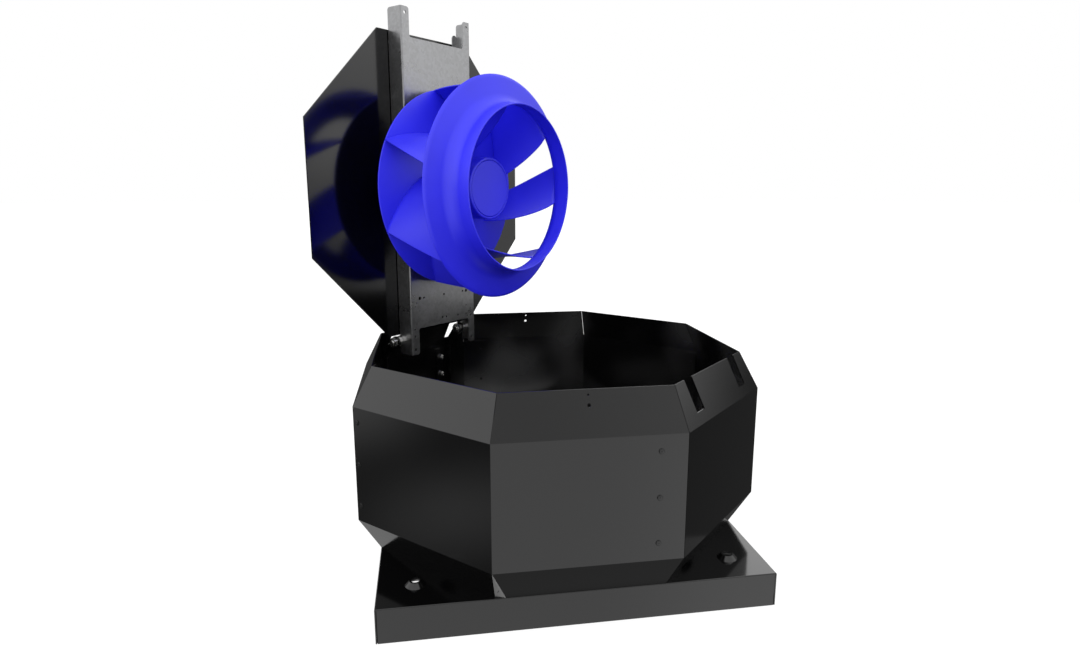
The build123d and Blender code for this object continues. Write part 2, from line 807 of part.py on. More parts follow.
# Motor: fixed flange, core and winding on the beam, with the bell turning round them
with BuildPart() as motor_flange:
    with BuildSketch(fan_section):
        with BuildLine():
            Polyline((bearing_radius, web_front), (motor_flange_radius, web_front),
                     (motor_flange_radius, web_front + motor_flange_height),
                     (motor_tube_radius, web_front + motor_flange_height), (motor_tube_radius, tube_front),
                     (bearing_radius, tube_front), (bearing_radius, tube_front - bearing_width),
                     (shaft_radius + shaft_room, tube_front - bearing_width),
                     (shaft_radius + shaft_room, web_front + bearing_width),
                     (bearing_radius, web_front + bearing_width), close=True)
        make_face()
    revolve(axis=fan_axis)
    with BuildSketch(fan_face(web_front)):
        with PolarLocations(motor_screw_circle, motor_screw_count, start_angle=first_motor_screw):
            Circle(motor_screw_radius + pin_clearance)
    extrude(amount=motor_flange_height - motor_hole_floor, mode=Mode.SUBTRACT)

behind_web = Plane(origin=at(0, web_rear, open_centre), x_dir=(-1, -1, 0), z_dir=(-1, 1, 0))
with BuildPart(behind_web) as motor_screws:
    with PolarLocations(motor_screw_circle, motor_screw_count, start_angle=first_motor_screw):
        add(bolt(motor_screw_radius, beam_sheet + motor_flange_height - motor_screw_spare, motor_screw_head,
                 motor_screw_head_height, 6))

core_back = (bell_back + bell_front) / 2 - core_length / 2
with BuildPart(fan_face(core_back)) as stator_core:
    Cylinder(core_radius, core_length, align=(Align.CENTER, Align.CENTER, Align.MIN))
    Cylinder(motor_tube_radius + pin_clearance, core_length, align=(Align.CENTER, Align.CENTER, Align.MIN),
             mode=Mode.SUBTRACT)
    with PolarLocations(core_radius - core_slot_depth / 2, core_slots):
        Box(core_slot_depth + slot_liner, core_slot_width, core_length,
            align=(Align.CENTER, Align.CENTER, Align.MIN), mode=Mode.SUBTRACT)

winding_inner = core_radius - core_slot_depth + winding_inset / 2
winding_outer = core_radius - winding_inset
with BuildPart(fan_face(core_back)) as stator_winding:
    with Locations((0, 0, -winding_length), (0, 0, core_length)):
        Cylinder(winding_outer, winding_length, align=(Align.CENTER, Align.CENTER, Align.MIN))
        Cylinder(winding_inner, winding_length, align=(Align.CENTER, Align.CENTER, Align.MIN),
                 mode=Mode.SUBTRACT)
    with PolarLocations((winding_inner + winding_outer) / 2, core_slots):
        Box(winding_outer - winding_inner - 2 * slot_liner, core_slot_width - 2 * slot_liner, core_length,
            align=(Align.CENTER, Align.CENTER, Align.MIN))

bearing = ring(shaft_radius + pin_clearance, bearing_radius - pin_clearance, bearing_width)
bearing_front = on_plane(bearing, fan_face(tube_front - bearing_width))
bearing_rear = on_plane(bearing, fan_face(web_front))

with BuildPart() as rotor_bell:
    with BuildSketch(fan_section):
        with BuildLine():
            Polyline((shaft_radius + pin_clearance, bell_front), (bell_radius, bell_front),
                     (bell_radius, bell_back), (bell_radius - bell_wall, bell_back),
                     (bell_radius - bell_wall, bell_front - bell_wall),
                     (2 * shaft_radius, bell_front - bell_wall),
                     (2 * shaft_radius, tube_front + bell_gap / 2),
                     (shaft_radius + pin_clearance, tube_front + bell_gap / 2), close=True)
        make_face()
    revolve(axis=fan_axis)
    with BuildSketch(fan_face(bell_front)):
        with PolarLocations(impeller_screw_circle, impeller_screw_count):
            Circle(impeller_screw_radius + pin_clearance)
    extrude(amount=-bell_wall, mode=Mode.SUBTRACT)

with BuildPart(fan_face(web_front + shaft_setback)) as motor_shaft:
    Cylinder(shaft_radius, hub_floor_front + shaft_proud - web_front - shaft_setback,
             align=(Align.CENTER, Align.CENTER, Align.MIN))
    chamfer(edges(), length=shaft_chamfer)

# Impeller hub: conical back plate with the cup that covers the motor
with BuildPart() as impeller_hub:
    with BuildSketch(fan_section):
        with BuildLine():
            Polyline((cap_radius + cap_gap, hub_face), (hub_cup_radius, hub_face),
                     (hub_cup_radius, hub_root), (hub_plate_radius, impeller_back + hub_sheet),
                     (hub_plate_radius, impeller_back), (hub_cup_radius - hub_sheet, hub_root - hub_sheet),
                     (hub_cup_radius - hub_sheet, bell_front), (2 * shaft_radius, bell_front),
                     (2 * shaft_radius, hub_floor_front), (cap_radius + cap_gap, hub_floor_front),
                     close=True)
        make_face()
    revolve(axis=fan_axis)
    root_edges = edges().filter_by(GeomType.CIRCLE).filter_by(
        lambda edge: abs(edge.radius - hub_cup_radius) < 0.01)
    fillet(root_edges.sort_by(Axis((0, 0, 0), away_from_hinge))[0], radius=hub_root_radius)
    with BuildSketch(fan_face(hub_floor_front)):
        with PolarLocations(impeller_screw_circle, impeller_screw_count):
            Circle(impeller_screw_radius + pin_clearance)
    extrude(amount=-hub_floor, mode=Mode.SUBTRACT)

with BuildPart(fan_face(hub_floor_front)) as impeller_screws:
    with PolarLocations(impeller_screw_circle, impeller_screw_count):
        add(bolt(impeller_screw_radius, hub_floor + impeller_screw_grip, impeller_screw_head,
                 impeller_screw_head_height, head_edge=impeller_screw_head_edge))

cap_back = hub_face - cap_sheet
rim_outer = cap_radius - cap_sheet
with BuildPart() as hub_cap:
    with BuildSketch(fan_section):
        with BuildLine():
            Polyline((0, hub_face), (cap_radius, hub_face), (cap_radius, cap_back), (rim_outer, cap_back),
                     (rim_outer, hub_floor_front), (rim_outer - cap_sheet, hub_floor_front),
                     (rim_outer - cap_sheet, cap_back), (0, cap_back), close=True)
        make_face()
    revolve(axis=fan_axis)


def shroud_flare():
    """Blade side of the shroud's flare: a tight bend, a shallow cone and a turned-back rim."""
    start = (shroud_inlet_radius + collar_draft, impeller_lip - shroud_collar)
    bend = JernArc(start, (collar_draft, -shroud_collar), flare_bend_radius, flare_bend_angle)
    cone = PolarLine(bend @ 1, flare_cone_length, direction=bend % 1)
    rim = JernArc(cone @ 1, cone % 1, flare_rim_radius, -flare_rim_angle)
    return bend @ 0, rim @ 1


with BuildPart() as impeller_shroud:
    with BuildSketch(fan_section):
        with BuildLine():
            Line((shroud_inlet_radius, impeller_lip),
                 (shroud_inlet_radius + collar_draft, impeller_lip - shroud_collar))
            shroud_flare()
            offset(amount=shroud_sheet, side=Side.LEFT)
        make_face()
    revolve(axis=fan_axis)

# Blades: one twisted sheet, thickened and trimmed to the flow passage, then repeated
hub_slope = (impeller_back + hub_sheet - hub_root) / (hub_plate_radius - hub_cup_radius)


def hub_line(radius):
    """Height of the back plate's blade side at a radius."""
    return hub_root + hub_slope * (radius - hub_cup_radius)


def fan_point(radius, angle, w):
    """Point at a radius and an angle about the fan axis."""
    return at(radius * cos(radians(angle)), w, open_centre + radius * sin(radians(angle)))


def blade_point(along, across):
    """Point of the blade's middle surface: along from inlet to outlet, across from hub to shroud."""
    hub_radius = blade_hub_start + (blade_hub_end - blade_hub_start) * along
    shroud_radius = blade_shroud_start + (blade_shroud_end - blade_shroud_start) * along
    shroud_w = impeller_lip - shroud_collar + (shroud_rim_w - impeller_lip + shroud_collar) * along
    hub_share = log(hub_radius / blade_hub_start) / log(blade_hub_end / blade_hub_start)
    shroud_share = log(shroud_radius / blade_shroud_start) / log(blade_shroud_end / blade_shroud_start)
    hub_angle = hub_sweep * (hub_share - 1)
    shroud_angle = shroud_start_turn + (shroud_end_turn - shroud_start_turn) * shroud_share
    return fan_point(
        hub_radius + (shroud_radius - hub_radius) * across,
        first_blade_angle + hub_angle + (shroud_angle - hub_angle) * across,
        hub_line(hub_radius) + (shroud_w - hub_line(hub_radius)) * across,
    )


def overrun_grid(steps, overrun):
    """Even steps from below 0 to above 1."""
    return [(1 + 2 * overrun) * step / steps - overrun for step in range(steps + 1)]


grid_along = overrun_grid(blade_grid_count_along, blade_overrun_along)
grid_across = overrun_grid(blade_grid_count_across, blade_overrun_across)
blade_surface = Face.make_surface_from_array_of_points(
    [[blade_point(along, across) for across in grid_across] for along in grid_along]
)
passage_inner = hub_cup_radius + blade_trim_depth
passage_outer = hub_plate_radius + blade_trim_depth
with BuildPart() as blade:
    thicken(blade_surface, amount=blade_thickness / 2, both=True)
    with BuildSketch(fan_section):
        with BuildLine():
            flare_start, flare_end = shroud_flare()
            Polyline(flare_end, (passage_outer, hub_line(passage_outer)),
                     (passage_inner, hub_line(passage_inner)), flare_start)
        make_face()
        with BuildLine():
            Polyline((blade_hub_start, hub_line(blade_hub_start) - blade_trim_depth),
                     (blade_hub_end + blade_trim_edge, hub_line(blade_hub_end) - blade_trim_depth),
                     (blade_shroud_end + blade_trim_edge, impeller_lip),
                     (blade_shroud_start + blade_inlet_lean, impeller_lip), close=True)
        make_face(mode=Mode.INTERSECT)
    revolve(axis=fan_axis, mode=Mode.INTERSECT)

with BuildPart() as impeller_blades:
    for number in range(blade_count):
        add(blade.part.rotate(fan_axis, number * 360 / blade_count))

pieces = {
    "base_plate": base_plate.part,
    "inlet_cone": inlet_cone.part,
    "inlet_cone_rivets": inlet_cone_rivets.part,
    **casing_panels,
    "corner_strips": corner_strips.part,
    "casing_rivets": casing_rivets.part,
    "foot_rivets": foot_rivets.part,
    "hinge_bracket_left": hinge_bracket_left,
    "hinge_bracket_right": hinge_bracket_right,
    "hinge_bracket_bolts": hinge_bracket_bolts.part,
    "hinge_bracket_nuts": hinge_bracket_nuts.part,
    "hinge_bolts": hinge_bolts.part,
    "hinge_bushes": hinge_bushes.part,
    "hinge_nuts": hinge_nuts.part,
    "rest_bracket_left": rest_bracket_left,
    "rest_bracket_right": rest_bracket_right,
    "rest_buffers": rest_buffers.part,
    "motor_beam": motor_beam.part,
    "lid": lid.part,
    "lid_bolts": lid_bolts.part,
    "lid_spacers": lid_spacers.part,
    "lid_nuts": lid_nuts.part,
    "motor_flange": motor_flange.part,
    "motor_screws": motor_screws.part,
    "stator_core": stator_core.part,
    "stator_winding": stator_winding.part,
    "bearing_front": bearing_front,
    "bearing_rear": bearing_rear,
    "rotor_bell": rotor_bell.part,
    "motor_shaft": motor_shaft.part,
    "impeller_hub": impeller_hub.part,
    "impeller_screws": impeller_screws.part,
    "hub_cap": hub_cap.part,
    "impeller_shroud": impeller_shroud.part,
    "impeller_blades": impeller_blades.part,
}
os.makedirs("parts", exist_ok=True)
for name, piece in pieces.items():
    piece.label = name
    export_step(piece, f"parts/{name}.step")
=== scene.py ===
import json
from math import atan2, cos, degrees, log, pi, radians, sin, tan

import bmesh
import bpy
from mathutils import Matrix, Vector


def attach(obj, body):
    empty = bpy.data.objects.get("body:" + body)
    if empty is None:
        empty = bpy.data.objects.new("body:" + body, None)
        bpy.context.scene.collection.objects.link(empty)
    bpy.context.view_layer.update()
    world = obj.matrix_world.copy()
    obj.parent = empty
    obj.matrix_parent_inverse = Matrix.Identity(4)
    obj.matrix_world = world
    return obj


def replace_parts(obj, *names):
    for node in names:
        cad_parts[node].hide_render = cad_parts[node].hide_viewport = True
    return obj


# Roof fan with its lid open: the finish of every surface, finer meshes for the moulded impeller,
# the spun inlet cone and the fasteners, and rounded edges on the folded sheets and the turned
# pieces of the motor. Metres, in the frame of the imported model, unless a heading says otherwise.
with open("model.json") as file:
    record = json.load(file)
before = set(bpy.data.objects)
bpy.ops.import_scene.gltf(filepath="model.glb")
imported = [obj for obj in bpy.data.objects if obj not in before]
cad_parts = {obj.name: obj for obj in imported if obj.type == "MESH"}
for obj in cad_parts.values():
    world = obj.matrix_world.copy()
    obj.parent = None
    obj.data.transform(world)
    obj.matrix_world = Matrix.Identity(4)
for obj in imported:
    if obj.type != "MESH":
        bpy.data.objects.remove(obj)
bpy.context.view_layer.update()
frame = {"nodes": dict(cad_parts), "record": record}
nodes = frame["nodes"]

# Casing and base, in millimetres
wall_count = 8
wall_step = 360 / wall_count
wall_apothem = 330.0
base_top = 53.0
panel_sheet = 1.5


# Node trees
class Socket:
    """A node's output, with arithmetic that adds Math nodes to its tree."""

    def __init__(self, tree, link):
        self.tree = tree
        self.link = link

    def math(self, operation, *others):
        return self.tree.math(operation, self, *others)

    def __add__(self, other):
        return self.math("ADD", other)

    def __sub__(self, other):
        return self.math("SUBTRACT", other)

    def __rsub__(self, other):
        return self.tree.math("SUBTRACT", other, self)

    def __mul__(self, other):
        return self.math("MULTIPLY", other)

    def __truediv__(self, other):
        return self.math("DIVIDE", other)

    def __rtruediv__(self, other):
        return self.tree.math("DIVIDE", other, self)

    def __mod__(self, other):
        return self.math("FLOORED_MODULO", other)

    __radd__ = __add__
    __rmul__ = __mul__


class Node:
    """A node whose outputs are read by name or by number."""

    def __init__(self, tree, made):
        self.tree = tree
        self.made = made

    def __getitem__(self, key):
        return Socket(self.tree, self.made.outputs[key])


class Tree:
    """Adds nodes to a node tree."""

    def __init__(self, node_tree):
        self.node_tree = node_tree

    def add(self, kind, settings=None, values=None):
        """Node of a kind, given its settings and then the values or links of its sockets."""
        made = self.node_tree.nodes.new(kind)
        for name, value in (settings or {}).items():
            setattr(made, name, value)
        for key, value in (values or {}).items():
            self.feed(made, key, value)
        return Node(self, made)

    def feed(self, made, key, value):
        if isinstance(value, Socket):
            self.node_tree.links.new(value.link, made.inputs[key])
        else:
            made.inputs[key].default_value = value

    def math(self, operation, *terms):
        return self.add("ShaderNodeMath", {"operation": operation}, dict(enumerate(terms)))[0]

    def mix(self, factor, first, second):
        """Colour between two colours."""
        return self.add("ShaderNodeMix", {"data_type": "RGBA"}, {0: factor, 6: first, 7: second})[2]

    def noise(self, place, scale, detail=2.0, roughness=0.5):
        return self.add("ShaderNodeTexNoise", None, {
            "Vector": place, "Scale": scale, "Detail": detail, "Roughness": roughness})["Fac"]

    def bump(self, height, strength, distance):
        return self.add("ShaderNodeBump", None, {
            "Height": height, "Strength": strength, "Distance": distance})["Normal"]

    def smooth(self, value, low, high):
        """0 up to low and 1 from high on, eased between them. Low may be the larger."""
        return self.add("ShaderNodeMapRange", {"interpolation_type": "SMOOTHSTEP"},
                        {"Value": value, "From Min": low, "From Max": high})["Result"]


def grey(level):
    return (level, level, level, 1)


def shaded(colour, factor):
    return (*[channel * factor for channel in colour], 1)


def start_finish(name, **values):
    """Material with a Principled shader whose plain values are set on its own sockets."""
    material = bpy.data.materials.new(name)
    material.use_nodes = True
    tree = Tree(material.node_tree)
    shader = material.node_tree.nodes["Principled BSDF"]
    for key, value in values.items():
        socket_name = key.replace("_", " ").title().replace("Ior", "IOR")
        shader.inputs[socket_name].default_value = value
    place = tree.add("ShaderNodeTexCoord")["Object"]
    return material, tree, shader, place


# Finishes
def powder_coat(name, colour, roughness, peel, marks=()):
    """Black powder coat: fine orange peel and a slow drift in gloss.

    A mark is a face attribute, the lighter grey painted there for light that the coat reflects, and
    whether it comes in patches.
    """
    material, tree, shader, place = start_finish(name, specular_ior_level=0.75)
    drift = tree.noise(place, 9.0, detail=3.0)
    grains = tree.noise(place, 640.0)
    base = tree.mix(drift * 0.7 + grains * 0.3, shaded(colour, 0.7), shaded(colour, 1.3))
    for mark, level, patchy in marks:
        share = tree.add("ShaderNodeAttribute", {"attribute_name": mark})["Fac"]
        if patchy:
            share = share * tree.smooth(tree.noise(place, 6.0, detail=1.0), 0.42, 0.66)
        base = tree.mix(share, base, grey(level))
    tree.feed(shader, "Base Color", base)
    tree.feed(shader, "Roughness", roughness * (0.85 + drift * 0.3))
    peel_height = grains * 0.7 + tree.noise(place, 1500.0, detail=1.0) * 0.3
    tree.feed(shader, "Normal", tree.bump(peel_height, peel, 0.0004))
    return material


def galvanised_sheet(name):
    """Zinc-coated sheet: small spangle, rolling grain and dull patches."""
    material, tree, shader, place = start_finish(name, metallic=1.0)
    cells = tree.add("ShaderNodeTexVoronoi", None,
                     {"Vector": place, "Scale": 210.0, "Randomness": 1.0})
    spangle = tree.add("ShaderNodeSeparateColor", None, {"Color": cells["Color"]})[0]
    grain = tree.noise(place, 1900.0)
    patches = tree.noise(place, 22.0, detail=4.0)
    level = spangle * 0.25 + grain * 0.45 + patches * 0.30
    tree.feed(shader, "Base Color", tree.mix(level, grey(0.265), (0.575, 0.58, 0.595, 1)))
    tree.feed(shader, "Roughness", 0.23 + spangle * 0.06 + patches * 0.10)
    tree.feed(shader, "Normal", tree.bump(grain + spangle * 0.5, 0.16, 0.00012))
    return material


def moulded_plastic(name, colour):
    """Satin moulded plastic: fine texture from the tool and faint flow shading."""
    material, tree, shader, place = start_finish(name, specular_ior_level=0.55)
    flow = tree.noise(place, 14.0, detail=3.0)
    fine = tree.noise(place, 1400.0)
    tree.feed(shader, "Base Color", tree.mix(flow, shaded(colour, 0.90), shaded(colour, 1.10)))
    tree.feed(shader, "Roughness", 0.30 + flow * 0.10 + fine * 0.05)
    tree.feed(shader, "Normal", tree.bump(fine, 0.06, 0.0003))
    return material


def plated_steel(name, level, roughness):
    """Zinc-plated or ground steel with fine scratches and a slight tint."""
    material, tree, shader, place = start_finish(name, metallic=1.0)
    stain = tree.noise(place, 160.0, detail=3.0)
    scratch = tree.noise(place, 2600.0, detail=1.0)
    tinted = (level * 1.08, level * 1.06, level, 1)
    tree.feed(shader, "Base Color", tree.mix(stain, grey(level * 0.82), tinted))
    tree.feed(shader, "Roughness", roughness * 0.8 + stain * roughness * 0.5)
    tree.feed(shader, "Normal", tree.bump(scratch, 0.08, 0.0001))
    return material


def cast_alloy(name):
    """Sand-grey casting skin."""
    material, tree, shader, place = start_finish(name, metallic=1.0)
    skin = tree.noise(place, 700.0, detail=4.0)
    tree.feed(shader, "Base Color", tree.mix(skin, grey(0.38), grey(0.58)))
    tree.feed(shader, "Roughness", 0.42 + skin * 0.2)
    tree.feed(shader, "Normal", tree.bump(skin, 0.3, 0.0003))
    return material


def moulded_rubber(name):
    """Dull black rubber."""
    material, tree, shader, place = start_finish(name, specular_ior_level=0.3)
    skin = tree.noise(place, 900.0, detail=3.0)
    tree.feed(shader, "Base Color", tree.mix(skin, grey(0.012), grey(0.03)))
    tree.feed(shader, "Roughness", 0.62 + skin * 0.25)
    tree.feed(shader, "Normal", tree.bump(skin, 0.25, 0.0002))
    return material


def enamelled_wire(name):
    """Copper winding: strands side by side under clear enamel."""
    material, tree, shader, place = start_finish(name, metallic=0.9, coat_weight=0.4)
    along_wire = tree.add("ShaderNodeMapping", None,
                          {"Vector": place, "Rotation": (0, 0, pi / 4)})["Vector"]
    strands = tree.add("ShaderNodeTexWave", {"bands_direction": "X"},
                       {"Vector": along_wire, "Scale": 260.0, "Distortion": 2.0})["Fac"]
    tree.feed(shader, "Base Color",
              tree.mix(strands, (0.32, 0.11, 0.04, 1), (0.72, 0.30, 0.12, 1)))
    tree.feed(shader, "Roughness", 0.28 + strands * 0.15)
    tree.feed(shader, "Normal", tree.bump(strands, 0.5, 0.0004))
    return material


coat_black = (0.0015, 0.0015, 0.0016)
lid_black = (0.0010, 0.0010, 0.0012)
rivet_black = (0.0010, 0.0010, 0.0011)
bell_black = (0.02, 0.02, 0.021)
impeller_colour = (0.018, 0.017, 0.70)
# Painted light on the casing's coat: a lighter grey painted on the corner gussets for their bright
# reflection, and pale patches painted on the inner walls as a soft sheen
casing_marks = (("corner_gusset", 0.17, False), ("dusty_inside", 0.030, True))
finishes = {
    "casing_paint": powder_coat("casing_powder_coat", coat_black, roughness=0.15, peel=0.025,
                                marks=casing_marks),
    "base_paint": powder_coat("base_powder_coat", coat_black, roughness=0.10, peel=0.02),
    "lid_paint": powder_coat("lid_powder_coat", lid_black, roughness=0.13, peel=0.01),
    "cone_steel": powder_coat("cone_powder_coat", coat_black, roughness=0.20, peel=0.04),
    "rivet_paint": powder_coat("rivet_powder_coat", rivet_black, roughness=0.10, peel=0.01),
    "rivet_steel": plated_steel("rivet_steel", level=0.55, roughness=0.35),
    "zinc": plated_steel("zinc_plate", level=0.86, roughness=0.16),
    "galvanised": galvanised_sheet("galvanised_sheet"),
    "buffer_rubber": moulded_rubber("buffer_rubber"),
    "cast_aluminium": cast_alloy("motor_casting"),
    "core_steel": plated_steel("core_laminations", level=0.4, roughness=0.5),
    "copper": enamelled_wire("copper_winding"),
    "bearing_steel": plated_steel("bearing_steel", level=0.75, roughness=0.15),
    "bell_paint": powder_coat("bell_paint", bell_black, roughness=0.4, peel=0.1),
    "impeller_blue": moulded_plastic("impeller_plastic", impeller_colour),
}

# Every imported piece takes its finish
for part in frame["record"]["subparts"]:
    piece = nodes[part["node"]]
    piece.data.materials.clear()
    piece.data.materials.append(finishes[part["material_slot"]])
bodies = frame["record"]["behaviour"]["bodies"]
body_of = {node: body for body, members in bodies.items() for node in members}
slot_of = {part["node"]: part["material_slot"] for part in frame["record"]["subparts"]}


def finished(shape, name, stands_for):
    """Object for a finished mesh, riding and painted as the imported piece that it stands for."""
    shape.materials.clear()
    shape.materials.append(finishes[slot_of[stands_for]])
    piece = bpy.data.objects.new(name, shape)
    bpy.context.scene.collection.objects.link(piece)
    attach(piece, body_of[stands_for])
    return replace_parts(piece, stands_for)


# Rounded edges of the folded sheets and of the turned pieces
sheet_edge = 0.0002
turned_edge = 0.0003
edge_segments = 2
sharp_edge = 24.0
gusset_top = 0.112
folded_sheets = (
    "base_plate", "casing_panel_back", "casing_panel_left", "casing_panel_front",
    "casing_panel_right", "corner_strips", "hinge_bracket_left", "hinge_bracket_right",
    "rest_bracket_left", "rest_bracket_right", "motor_beam", "lid",
)
turned_pieces = (
    "rest_buffers", "rotor_bell", "motor_flange", "motor_shaft", "bearing_front", "bearing_rear",
)


def is_corner_gusset(face):
    """Whether a face closes a folded corner of the casing, low down between two sloping sides."""
    way = degrees(atan2(face.normal.y, face.normal.x))
    leans_down = -0.8 < face.normal.z < -0.35
    between_walls = abs(way % wall_step - wall_step / 2) < 7
    return leans_down and between_walls and face.calc_center_median().z < gusset_top


def broken_edges(node, edge):
    """Copy of a piece whose loose facets are merged and whose edges are rounded over."""
    shape = bmesh.new()
    shape.from_mesh(nodes[node].data)
    bmesh.ops.remove_doubles(shape, verts=shape.verts, dist=1e-6)
    bmesh.ops.dissolve_limit(shape, angle_limit=radians(0.4), verts=shape.verts,
                             edges=shape.edges)
    bmesh.ops.recalc_face_normals(shape, faces=shape.faces)
    gusset_reflection_mark = shape.faces.layers.float.new("corner_gusset")
    sheen_mark = shape.faces.layers.float.new("dusty_inside")
    for face in shape.faces:
        face.smooth = True
        # Painted reflection: the folded corners' gussets get a lighter grey in the coat's base
        # colour
        face[gusset_reflection_mark] = float(is_corner_gusset(face))
        # Painted sheen: faces turned into the casing get pale patches of lighter grey in the coat's
        # base colour
        face[sheen_mark] = float(face.normal.xy.dot(face.calc_center_median().xy) < -0.1)
    mesh = bpy.data.meshes.new(f"{node}_sheet")
    shape.to_mesh(mesh)
    shape.free()
    piece = finished(mesh, f"{node}_sheet", node)
    rounding = piece.modifiers.new("edges", "BEVEL")
    rounding.width = edge
    rounding.segments = edge_segments
    rounding.limit_method = "ANGLE"
    rounding.angle_limit = radians(sharp_edge)
    rounding.loop_slide = False
    # The casing's folded corners meet in slender ends that leave no room for the full rounding
    rounding.use_clamp_overlap = node.startswith("casing_panel")
    rounding.harden_normals = False
    flattened = piece.modifiers.new("normals", "WEIGHTED_NORMAL")
    flattened.keep_sharp = True
    flattened.weight = 80


for sheet in folded_sheets:
    broken_edges(sheet, sheet_edge)
for turned_piece in turned_pieces:
    broken_edges(turned_piece, turned_edge)

# Places on the fan: u along the hinge pins, w from the hinge wall across the fan, and height
hinge_line = Vector((1, 1, 0)).normalized()
away = Vector((1, -1, 0)).normalized()
upward = Vector((0, 0, 1))
open_centre = 623.4


def at(u, w, z):
    """Place in metres of a point that is given in millimetres."""
    return (hinge_line * u + away * w + upward * z) * 0.001


def facing(origin, along_x, along_z):
    """Matrix that stands a shape at a place, with its own x and z pointing as given."""
    matrix = Matrix((along_x, along_z.cross(along_x), along_z)).transposed().to_4x4()
    matrix.translation = origin
    return matrix


fan_frame = facing(at(0, 0, open_centre), hinge_line, away)


# Outlines, in millimetres
def softened(corners, closed=True):
    """Outline with rounded corners: a radius, a height and, where it is rounded, by how much."""
    outline = []
    count = len(corners)
    for number, (radius, height, *rounding) in enumerate(corners):
        corner = Vector((radius, height))
        if not rounding or (not closed and number in (0, count - 1)):
            outline.append((radius, height))
            continue
        before = (Vector(corners[number - 1][:2]) - corner).normalized()
        after = (Vector(corners[(number + 1) % count][:2]) - corner).normalized()
        half = before.angle(after) / 2
        centre = corner + (before + after).normalized() * rounding[0] / sin(half)
        first = corner + before * rounding[0] / tan(half) - centre
        last = corner + after * rounding[0] / tan(half) - centre
        steps = max(2, round((pi - 2 * half) / radians(14)))
        for step in range(steps + 1):
            share = step / steps
            outline.append(tuple(centre + first.lerp(last, share).normalized() * rounding[0]))
    return outline


def course(start, heading, moves):
    """Points with headings along straights and bends: a length, or a radius and a turn."""
    place, way = Vector(start), heading
    points = [(place.copy(), way)]
    for move in moves:
        if len(move) == 1:
            place = place + Vector((cos(way), sin(way))) * move[0]
            points.append((place.copy(), way))
            continue
        radius, turn = move
        side = 1 if turn > 0 else -1
        centre = place + Vector((-sin(way), cos(way))) * radius * side
        steps = max(3, round(abs(turn) / 5))
        for step in range(1, steps + 1):
            now = way + radians(turn) * step / steps
            place = centre - Vector((-sin(now), cos(now))) * radius * side
            points.append((place.copy(), now))
        way = way + radians(turn)
    return points


def cut_edge(end, other, way, edge):
    """Rounded corners of a sheet's cut edge, from one side of the sheet to the other."""
    ahead = Vector((cos(way), sin(way))) * edge
    points = []
    for corner, side in ((end, other - end), (other, end - other)):
        inward = side.normalized() * edge
        centre = corner + inward - ahead
        arc = [centre - inward * cos(pi / 8 * step) + ahead * sin(pi / 8 * step)
               for step in range(5)]
        points += arc if corner is end else arc[::-1]
    return points


def sheet_outline(points, thickness, side):
    """Closed outline of a bent sheet on one side of a course."""
    near = [place for place, way in points]
    far = [place + Vector((-sin(way), cos(way))) * thickness * side for place, way in points]
    edge = thickness * 0.33
    outline = near[1:-1] + cut_edge(near[-1], far[-1], points[-1][1], edge)
    outline += far[-2:0:-1] + cut_edge(far[0], near[0], points[0][1] + pi, edge)
    return [tuple(point) for point in outline]


# Turned shapes, drawn in millimetres
def turned(name, rows, around, closed=False):
    """Mesh of rings about Z. A row's radius and height may each change with the angle."""
    shape = bmesh.new()
    rings = []
    for radius, height in rows:
        ring = []
        for step in range(around):
            turn = 2 * pi * step / around
            reach = radius(turn) if callable(radius) else radius
            level = height(turn) if callable(height) else height
            ring.append(shape.verts.new((reach * cos(turn), reach * sin(turn), level)))
        rings.append(ring)
    for ring, above in zip(rings, rings[1:] + (rings[:1] if closed else [])):
        join_loops(shape, ring, above)
    return shaped(name, shape)


def join_loops(shape, loop, above):
    """Band of faces between two closed loops of points."""
    for step in range(len(loop)):
        after = (step + 1) % len(loop)
        shape.faces.new((loop[step], loop[after], above[after], above[step]))


def shaped(name, shape):
    """Smooth-shaded mesh of a shape, closed, turned outwards and brought to metres."""
    bmesh.ops.remove_doubles(shape, verts=shape.verts, dist=1e-4)
    bmesh.ops.recalc_face_normals(shape, faces=shape.faces)
    for face in shape.faces:
        face.smooth = True
    mesh = bpy.data.meshes.new(name)
    shape.to_mesh(mesh)
    shape.free()
    mesh.transform(Matrix.Scale(0.001, 4))
    return mesh


def hexagon(flats):
    """Radius of a hexagon with that size across its flats."""
    return lambda turn: flats / 2 / cos(turn % (pi / 3) - pi / 6)


def scalloped(flats, height, share=1.0):
    """Height of a hexagon's edge where a 30 degree cone has turned its corners off."""
    outer = hexagon(flats)
    return lambda turn: height - share * max(0.0, outer(turn) - 0.485 * flats) * tan(pi / 6)


def threaded(radius, first, last, pitch):
    """Rows of a screw thread from one height to another."""
    count = max(2, round((last - first) / pitch * 6))
    rows = []
    for step in range(count + 1):
        level = first + (last - first) * step / count
        rows.append((lambda turn, level=level:
                     radius - pitch * 0.14 * (1 - cos(2 * pi * level / pitch - turn)), level))
    return rows


def hexagon_nut(name, flats, height, bore):
    return turned(name, [
        (bore, 0.5), (bore + 0.5, 0.0), (0.47 * flats, 0.0),
        (hexagon(flats), scalloped(flats, 0.0, -1)), (hexagon(flats), scalloped(flats, height)),
        (0.47 * flats, height), (bore + 0.5, height), (bore, height - 0.5),
    ], 48, closed=True)


def hexagon_bolt(name, flats, height, radius, length, pitch, thread):
    """Hexagon head above 0 and a shank below it, threaded over the given length from its end."""
    return turned(name, [
        (0, -length), (radius * 0.8, -length),
        *threaded(radius, 0.6 - length, thread - length, pitch),
        (radius, thread - length + 0.8), (radius, 0.0), (0.46 * flats, 0.0),
        (hexagon(flats), 0.3), (hexagon(flats), scalloped(flats, height)),
        (0.46 * flats, height), (0, height),
    ], 48)


